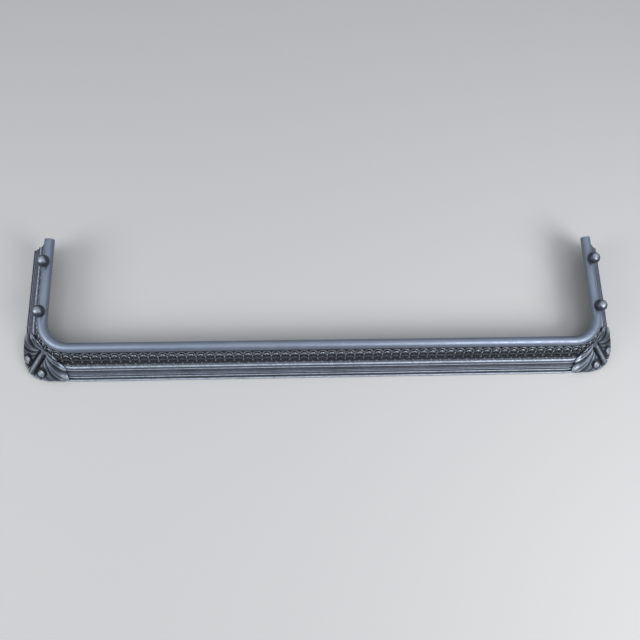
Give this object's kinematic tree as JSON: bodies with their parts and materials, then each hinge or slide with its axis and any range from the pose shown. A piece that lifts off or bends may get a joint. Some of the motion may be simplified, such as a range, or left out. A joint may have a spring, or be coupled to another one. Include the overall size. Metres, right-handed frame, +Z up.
{
  "type": "fire fender",
  "caption": "Low U-shaped cast-iron fire fender with moulded kerb, pierced arcaded fret, half-round rail, leaf corners and ball knobs on the returns.",
  "frame": {"origin": "centre of the footprint, on the hearth", "axes": "+Z up, +X along the front towards its right end as seen from the room, +Y from the front towards the open back"},
  "size_m": [1.2212, 0.2786, 0.1067],
  "materials": {
    "kerb_iron": "black-leaded, worn brighter on the mouldings",
    "fret_iron": "matt black, dusty in the recesses",
    "rail_iron": "black-leaded and burnished by handling",
    "knob_iron": "black, polished",
    "fastener_steel": "dull, slightly rusted"
  },
  "bodies": {
    "root": {"front_kerb": "kerb_iron", "left_corner_kerb": "kerb_iron", "right_corner_kerb": "kerb_iron", "left_return_kerb": "kerb_iron", "right_return_kerb": "kerb_iron", "front_fret": "fret_iron", "left_corner_fret": "fret_iron", "right_corner_fret": "fret_iron", "left_return_fret": "fret_iron", "right_return_fret": "fret_iron", "left_corner_acanthus": "kerb_iron", "right_corner_acanthus": "kerb_iron", "top_rail": "rail_iron", "left_rear_knob": "knob_iron", "left_front_knob": "knob_iron", "right_front_knob": "knob_iron", "right_rear_knob": "knob_iron", "knob_studs": "fastener_steel", "knob_nuts": "fastener_steel", "rail_screws": "fastener_steel", "fret_screws": "fastener_steel", "joint_bolts": "fastener_steel", "joint_nuts": "fastener_steel", "acanthus_nuts": "fastener_steel"}
  },
  "joints": []
}
